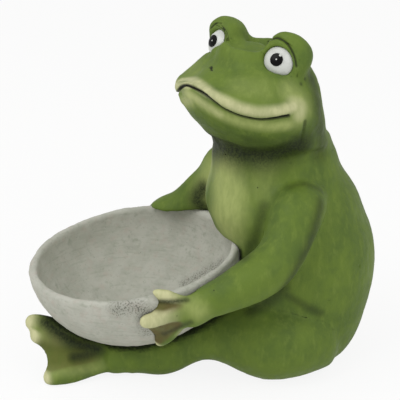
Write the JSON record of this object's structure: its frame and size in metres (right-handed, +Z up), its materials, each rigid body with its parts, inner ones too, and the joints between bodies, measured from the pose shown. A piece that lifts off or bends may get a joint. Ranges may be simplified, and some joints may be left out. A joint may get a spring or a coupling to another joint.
{
  "type": "seated frog figurine with bowl",
  "caption": "Seated frog garden figurine with bulging eyes and a wide mouth that holds a round, open stone-finished bowl on its outstretched legs.",
  "frame": {"origin": "centre of the flat seat that the figurine rests on", "axes": "+Z up, -Y along the outstretched legs towards the bowl, +X to the frog's own left"},
  "size_m": [0.188, 0.2752, 0.2638],
  "materials": {
    "green_clay": "matte brushed green paint with dark wash in the recesses and pale yellow-green highlights on the belly, lips, fingers and toes",
    "stone_grey": "rough matte grey, like weathered cast stone, with fine pores",
    "eye_white": "gloss white",
    "eye_black": "gloss black"
  },
  "bodies": {
    "root": {"torso": "green_clay", "head": "green_clay", "left_arm": "green_clay", "right_arm": "green_clay", "left_leg": "green_clay", "right_leg": "green_clay", "left_eyelid": "green_clay", "right_eyelid": "green_clay", "left_eyeball": "eye_white", "right_eyeball": "eye_white", "left_pupil": "eye_black", "right_pupil": "eye_black", "bowl": "stone_grey"}
  },
  "joints": []
}
